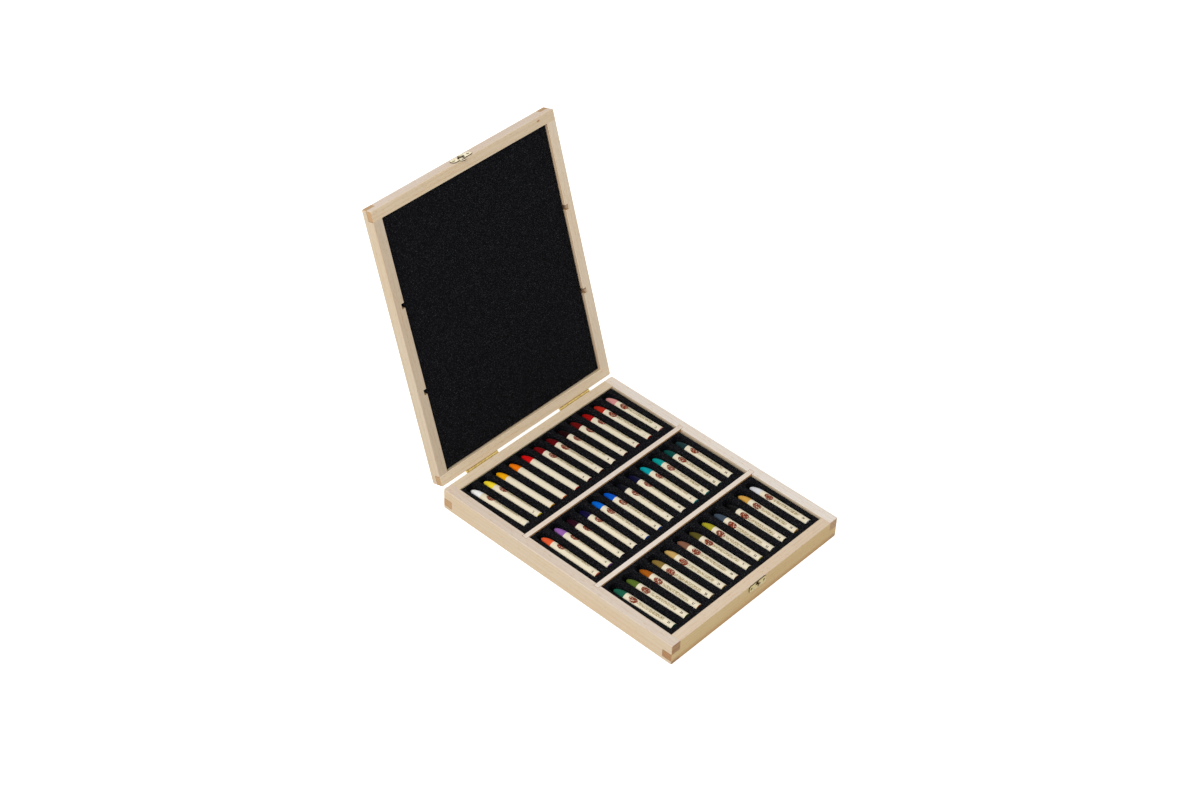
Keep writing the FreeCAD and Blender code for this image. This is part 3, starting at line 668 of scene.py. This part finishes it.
def wrapper(name, number, roll, number_roll):
    """A paper tube wound as a spiral: its radius falls by the paper's thickness in one turn, with
    slight waves, so that its outer edge stands a paper's thickness high."""
    foot, nose = pastel_ends(name)
    turn = np.linspace(0, 1, AROUND + 1)[:-1]
    outer = WRAPPER_RADIUS - PAPER_THICKNESS * turn + PAPER_WAVE * np.sin(9 * math.pi * turn)
    inner = np.full(AROUND, STICK_RADIUS - GLUED_IN)
    along = np.array([WRAPPER_START, WRAPPER_START + PAPER_EDGE, *np.linspace(8e-3, 46e-3, 6),
                      WRAPPED - PAPER_EDGE, WRAPPED, WRAPPED, WRAPPER_START])
    radius = np.stack([outer - EDGE_PRESSED] + [outer] * 8 + [outer - EDGE_PRESSED, inner, inner])
    angle = roll + math.pi + 2 * math.pi * turn
    rings = around_axis(foot, nose, *np.broadcast_arrays(along[:, None], radius, angle))
    round_it = np.linspace(0, 1, AROUND + 1) * 2 * math.pi * WRAPPER_RADIUS * UV_SCALE
    colour_name = name.removeprefix("pastel_")
    piece = skin("wrapper_" + colour_name, rings, looped=True,
                 unrolled=(round_it, np.append(along, along[0]) * UV_SCALE))
    form = bmesh.new()
    form.from_mesh(piece.data)
    printed = len(form.faces)
    form.from_mesh(number_print(str(number), foot, nose, number_roll))
    form.faces.ensure_lookup_table()
    for face in form.faces[printed:]:
        face.material_index = 1
    form.to_mesh(piece.data)
    form.free()
    settled(piece, label, name, name)
    piece.data.materials.append(ink)


label = paper_label()
ink, tree, shader = finish("print_ink")
worn = stretched_noise(tree, in_millimetres(tree), (3.0,) * 3)
tree.links.new(blended(tree, worn, colour(*INK), colour(*WORN_INK)), shader.inputs["Base Color"])
shader.inputs["Roughness"].default_value = 0.6
shader.inputs["Specular IOR Level"].default_value = 0.08

# The rolls are in degrees from the top towards +X, from the first stick of a row to its last.
number = 0
for row in ("rear", "middle", "front"):
    for name, roll in zip(ROWS[row], np.linspace(*ROLLS[row], len(ROWS[row]))):
        number += 1
        turn = ROLL_SCATTER * math.sin(SCATTER_STEP * number)
        if name.removeprefix("pastel_") in TURNED_AWAY:
            turn += AWAY_ROLL
        wrapper(name, number, math.radians(roll + turn), math.radians(NUMBER_ROLL + turn))

# ---- Hinges ------------------------------------------------------------------------------
# Two stop hinges of thin brass sheet: the leaves' edges are sheared and their knuckles rolled
# round a drawn pin. The lacquer keeps them bright, with faint rolling marks along the sheet.

BRASS = (222, 198, 128)
BRASS_DULL = (176, 146, 76)
LEAF_EDGE = 0.08e-3       # how far the sheared edges are rounded
PIN_EDGE = 0.1e-3


def brass(name, turn, tone=BRASS, dull_tone=BRASS_DULL):
    """Lacquered brass: bright metal with faint rolling lines along X and small clouds of tarnish.

    turn brings the piece upright, as on the shut box."""
    surface, tree, shader = finish(name)
    place = in_millimetres(tree, (turn, 0.0, 0.0))
    rolled = stretched_noise(tree, place, (0.25, 6.0, 6.0))
    cloud = stretched_noise(tree, place, (0.45,) * 3, 4.0)
    tarnish = ramp(tree, cloud, (0.45, 0.0), (0.75, 1.0))
    metal = blended(tree, tarnish, colour(*tone), colour(*dull_tone))
    tree.links.new(metal, shader.inputs["Base Color"])
    roughened(tree, shader, cloud, 0.18, 0.42)
    relief(tree, shader, rolled, 0.12, 0.04e-3)
    shader.inputs["Metallic"].default_value = 1.0
    return surface


def softened(piece_name, node, body, surface, width):
    """A copy of a CAD node with its faces welded and its edges rounded off."""
    mesh = frame["nodes"][node].data.copy()
    form = bmesh.new()
    form.from_mesh(mesh)
    bmesh.ops.remove_doubles(form, verts=form.verts, dist=2e-7)
    bmesh.ops.dissolve_limit(form, angle_limit=math.radians(0.5), verts=form.verts,
                             edges=form.edges)
    form.to_mesh(mesh)
    form.free()
    mesh.materials.clear()
    mesh.shade_smooth()
    mesh.set_sharp_from_angle(angle=SHARP)
    piece = bpy.data.objects.new(piece_name, mesh)
    bpy.context.scene.collection.objects.link(piece)
    bevel = piece.modifiers.new("rounded", "BEVEL")
    bevel.width = width
    bevel.segments = 2
    bevel.limit_method = "ANGLE"
    bevel.angle_limit = SHARP
    bevel.harden_normals = True
    settled(piece, surface, "brass", body, node)


tray_brass = brass("tray_brass", 0.0)
lid_brass = brass("lid_brass", LID_TILT)
softened("tray_leaves", "hinge_tray_leaves", "tray", tray_brass, LEAF_EDGE)
softened("lid_leaves", "hinge_lid_leaves", "lid", lid_brass, LEAF_EDGE)
softened("pins", "hinge_pins", "tray", tray_brass, PIN_EDGE)

# ---- Brads -------------------------------------------------------------------------------
# Round-headed brass brads hold the leaves and the two clasp plates: a low domed head with a
# thin rim, on a shank that is out of sight in the wood.

BRAD_HEAD_RADIUS, BRAD_DOME = 1.4e-3, 0.7e-3
BRAD_SHANK, BRAD_LENGTH = 0.6e-3, 2.0e-3
HEAD_RIM = 0.05e-3        # how far the dome stands back from the edge of the head
# The clasp brass is toned apart as painted light: the keeper's darkened as painted shade, the latch's paled as a
# painted reflection of bright surroundings. The edge tone is a painted dark reflection.
KEEPER_PAINTED_SHADE_TONES = ((168, 154, 108), (140, 120, 74))
LATCH_PAINTED_REFLECTION_TONES = ((246, 235, 204), (224, 203, 156))
EDGE_PAINTED_DARK_REFLECTION = (36, 22, 8)


def turned_heads(name, places, profile, outward, around=20):
    """Turned heads in one mesh: the profile, (distance out, radius), turned round each place."""
    side = np.array([1.0, 0.0, 0.0])
    up = np.cross(outward, side)
    angle = np.linspace(0, 2 * math.pi, around, endpoint=False)
    profile = np.array(profile)
    ray = np.cos(angle)[:, None] * side + np.sin(angle)[:, None] * up
    rings = profile[:, :1, None] * outward + profile[:, 1:, None] * ray
    heads = [skin(name, rings + place) for place in places]
    form = bmesh.new()
    for head in heads:
        form.from_mesh(head.data)
    form.to_mesh(heads[0].data)
    form.free()
    for head in heads[1:]:
        bpy.data.objects.remove(head)
    return heads[0]


def dome_profile(radius, height, shank, depth):
    """Shank, underside, thin rim and a dome that ends in a tiny flat. The dome is the cap of a
    ball with the radius (radius ** 2 + height ** 2) / (2 * height)."""
    ball = (radius ** 2 + height ** 2) / (2 * height)
    swing = np.linspace(1, 0.06, 7) * math.asin(radius / ball)
    dome = np.stack([height - ball * (1 - np.cos(swing)), ball * np.sin(swing)], 1)
    return np.concatenate([[(-depth, shank), (0, shank), (0, radius - HEAD_RIM)], dome])


def brad_places(node, on_lid):
    """The tops of a node's brads, front and back: the middles in X and Z of the groups of
    vertices that lie apart in X, as far out as the group reaches in Y."""
    points = shut(vertices(node)) if on_lid else vertices(node)
    places = {-1: [], 1: []}
    for side in places:
        group = points[points[:, 1] * side > 0]
        group = group[group[:, 0].argsort()]
        for cluster in np.split(group, np.flatnonzero(np.diff(group[:, 0]) > 1e-3) + 1):
            middle = (cluster.min(0) + cluster.max(0)) / 2
            middle[1] = side * np.abs(cluster[:, 1]).max()
            places[side].append(middle)
    return places


def punched_brass(name, turn, tones):
    """The same brass, painted dark where it turns away from the face of the sheet: a painted dark reflection on
    its edges and on the rims of its domes.
    """
    surface = brass(name, turn, *tones)
    tree = surface.node_tree
    base = tree.nodes["Principled BSDF"].inputs["Base Color"]
    # painted reflection: darker where the surface turns away from the face of the sheet
    away = reckoned(tree, "ABSOLUTE", facing(tree, (turn, 0.0, 0.0))["Y"])
    edge = ramp(tree, away, (0.70, 1.0), (0.97, 0.0))
    tree.links.new(blended(tree, edge, base.links[0].from_socket, colour(*EDGE_PAINTED_DARK_REFLECTION)), base)
    return surface


keeper_brass = punched_brass("keeper_brass", 0.0, KEEPER_PAINTED_SHADE_TONES)
latch_brass = punched_brass("latch_brass", LID_TILT, LATCH_PAINTED_REFLECTION_TONES)
for body, node, clasp_brass, leaf_brass in (("tray", "tray_brads", keeper_brass, tray_brass),
                                            ("lid", "lid_brads", latch_brass, lid_brass)):
    for side, places in brad_places(node, body == "lid").items():
        outward = np.array([0.0, side, 0.0])
        places = np.array(places) - BRAD_DOME * outward
        if body == "lid":
            places, outward = opened(places), about_x(outward, -LID_TILT)
        heads = turned_heads(f"{body}_brad_heads_{'back' if side > 0 else 'front'}", places,
                             dome_profile(BRAD_HEAD_RADIUS, BRAD_DOME, BRAD_SHANK, BRAD_LENGTH),
                             outward)
        settled(heads, leaf_brass if side > 0 else clasp_brass, "brass", body, node)

# ---- Latch -------------------------------------------------------------------------------
# A pressed brass plate on the lid carries the hook on a domed rivet, and one on the tray has
# a headed stud that the hook swings over. Both plates are punched from sheet.

PLATE_CORNER = 2.6e-3
PLATE_EDGE = 0.2e-3       # how far the edge towards the front is rounded
PLATE_SHEET = 0.8e-3
HOOK_EDGE = 0.12e-3
STUD_HEAD_RADIUS, STUD_DOME = 2.15e-3, 1.0e-3
STUD_NECK, STUD_LENGTH = 0.9e-3, 1.4e-3
STUD_REACH = 0.5e-3       # from the keeper's front, in which there is only the stud
RIVET_HEAD_RADIUS, RIVET_DOME = 3.2e-3, 1.6e-3
RIVET_SHANK, RIVET_LENGTH = 1.2e-3, 1.6e-3


def clasp_plate(name, low, high, on_lid):
    """A plate with rounded corners, stacked from outlines. Each outline is four quarter circles
    round the corners' centres. Towards the front they draw in along a quarter circle too."""
    middle = (low + high) / 2
    half_x, half_z = (high[0] - low[0]) / 2, (high[2] - low[2]) / 2
    corner = np.linspace(0, math.pi / 2, 9)
    quarter = np.concatenate([corner + n * math.pi / 2 for n in range(4)])
    sign_x = np.repeat([1, -1, -1, 1], 9)
    sign_z = np.repeat([1, 1, -1, -1], 9)
    swing = np.linspace(0, math.pi / 2, 4)
    inset = np.concatenate([[0], PLATE_EDGE * (1 - np.cos(swing))])
    out = np.concatenate([[0], high[1] - low[1] - PLATE_EDGE * (1 - np.sin(swing))])
    radius = PLATE_CORNER - inset[:, None]
    x = middle[0] + sign_x * (half_x - PLATE_CORNER) + radius * np.cos(quarter)
    z = middle[2] + sign_z * (half_z - PLATE_CORNER) + radius * np.sin(quarter)
    y = np.broadcast_to(high[1] - out[:, None], x.shape)
    rings = np.stack([x, y, z], -1)
    return skin(name, opened(rings) if on_lid else rings)


def shut_box(node):
    """The lowest and highest corner of a node of the lid, as on the shut box."""
    points = shut(vertices(node))
    return points.min(0), points.max(0)


plate = clasp_plate("plate_of_latch", *shut_box("latch_plate"), True)
settled(plate, latch_brass, "brass", "lid", "latch_plate")

keeper_low, keeper_high = (np.array(corner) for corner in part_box("keeper_plate"))
plate_low = np.array([keeper_low[0], keeper_high[1] - PLATE_SHEET, keeper_low[2]])
plate = clasp_plate("plate_of_keeper", plate_low, keeper_high, False)
settled(plate, keeper_brass, "brass", "tray", "keeper_plate")

forward = np.array([0.0, -1.0, 0.0])
stud = vertices("keeper_plate")
stud = stud[stud[:, 1] < keeper_low[1] + STUD_REACH]
stud_place = (stud.min(0) + stud.max(0)) / 2
stud_place[1] = keeper_low[1] + STUD_DOME
stud_profile = dome_profile(STUD_HEAD_RADIUS, STUD_DOME, STUD_NECK, STUD_LENGTH)
stud = turned_heads("keeper_stud", [stud_place], stud_profile, forward, 32)
settled(stud, keeper_brass, "brass", "tray")

softened("hook", "latch_hook", "hook", latch_brass, HOOK_EDGE)
rivet_low, rivet_high = shut_box("latch_rivet")
rivet_place = (rivet_low + rivet_high) / 2
rivet_place[1] = rivet_low[1] + RIVET_DOME
rivet_profile = dome_profile(RIVET_HEAD_RADIUS, RIVET_DOME, RIVET_SHANK, RIVET_LENGTH)
rivet = turned_heads("hook_rivet", [opened(rivet_place)], rivet_profile,
                     about_x(forward, -LID_TILT), 40)
settled(rivet, latch_brass, "brass", "lid", "latch_rivet")

# ---- Floor, light and camera -------------------------------------------------------------
# The box stands on a plain white floor under a wide soft lamp from the upper left, in even
# light from all round.

VIEW_AZIMUTH = math.radians(48.99)
VIEW_ELEVATION = math.radians(40.83)
VIEW_ROLL = math.radians(2.78)
VIEW_TARGET = np.array([0.0989, 0.1401, 0.0])   # where the middle of the view meets the floor
VIEW_DISTANCE = 2.3247
LENS = 72.61
FLOOR_SIZE, FLOOR_DROP = 6.0, 0.2e-3
FLOOR_GREY = 0.8
FLOOR_GLOW = 0.70         # to the eye alone
ROOM_LIGHT = 0.68
LAMP_SIZE = 1.4
LAMP_POWER = 21.7
LAMP_PLACE = 1.9 * np.array([-1.0, 0.0, 1.0]) / math.sqrt(2)


def looked_at(tree, unseen, seen):
    """A number that is seen where the camera, a gloss or a transmission looks, else unseen."""
    light = add(tree, "LightPath", {}).outputs
    eye = reckoned(tree, "MAXIMUM", light["Is Camera Ray"], light["Is Glossy Ray"])
    eye = reckoned(tree, "MAXIMUM", eye, light["Is Transmission Ray"])
    return add(tree, "MapRange", {"Value": eye, "To Min": unseen, "To Max": seen}).outputs[0]


world = bpy.data.worlds.new("even_light")
bpy.context.scene.world = world
world.use_nodes = True
background = world.node_tree.nodes["Background"].inputs
background["Color"].default_value = (1.0, 1.0, 1.0, 1.0)
world.node_tree.links.new(looked_at(world.node_tree, ROOM_LIGHT, 1.0), background["Strength"])

bpy.ops.mesh.primitive_plane_add(size=FLOOR_SIZE, location=(0.0, 0.0, -FLOOR_DROP))
floor = bpy.context.object
floor.name = "floor"
surface, tree, shader = finish("white_floor")
shader.inputs["Base Color"].default_value = (FLOOR_GREY,) * 3 + (1.0,)
shader.inputs["Roughness"].default_value = 0.9
shader.inputs["Specular IOR Level"].default_value = 0.0
shader.inputs["Emission Color"].default_value = (1.0, 1.0, 1.0, 1.0)
tree.links.new(looked_at(tree, 0.0, FLOOR_GLOW), shader.inputs["Emission Strength"])
floor.data.materials.append(surface)

lamp_data = bpy.data.lights.new("soft_lamp", "AREA")
lamp_data.shape = "SQUARE"
lamp_data.size = LAMP_SIZE
lamp_data.energy = LAMP_POWER
lamp = bpy.data.objects.new("soft_lamp", lamp_data)
bpy.context.scene.collection.objects.link(lamp)
lamp.location = LAMP_PLACE


def turned_to(view, up_hint):
    """A rotation whose -Z looks along view, with X level."""
    view = np.array(view) / np.linalg.norm(view)
    right = np.cross(view, up_hint)
    right /= np.linalg.norm(right)
    return np.stack([right, np.cross(right, view), -view], 1)


def euler_of(matrix):
    """A rotation matrix as the Euler turns that an object takes."""
    return Matrix(matrix.tolist()).to_euler()


lamp.rotation_euler = euler_of(turned_to(-LAMP_PLACE, (0, 0, 1)))

level_view = np.array([math.sin(VIEW_AZIMUTH), math.cos(VIEW_AZIMUTH), 0.0])
view = math.cos(VIEW_ELEVATION) * level_view - math.sin(VIEW_ELEVATION) * np.array([0, 0, 1.0])
upright = turned_to(view, (0, 0, 1))
c, s = math.cos(VIEW_ROLL), math.sin(VIEW_ROLL)
rolled = upright @ np.array([[c, -s, 0], [s, c, 0], [0, 0, 1]])
camera_data = bpy.data.cameras.new("camera")
camera_data.lens = LENS
camera_data.sensor_width = 36.0
camera = bpy.data.objects.new("camera", camera_data)
bpy.context.scene.collection.objects.link(camera)
camera.location = VIEW_TARGET - VIEW_DISTANCE * view
camera.rotation_euler = euler_of(rolled)
bpy.context.scene.camera = camera
bpy.context.scene.view_settings.view_transform = "Standard"
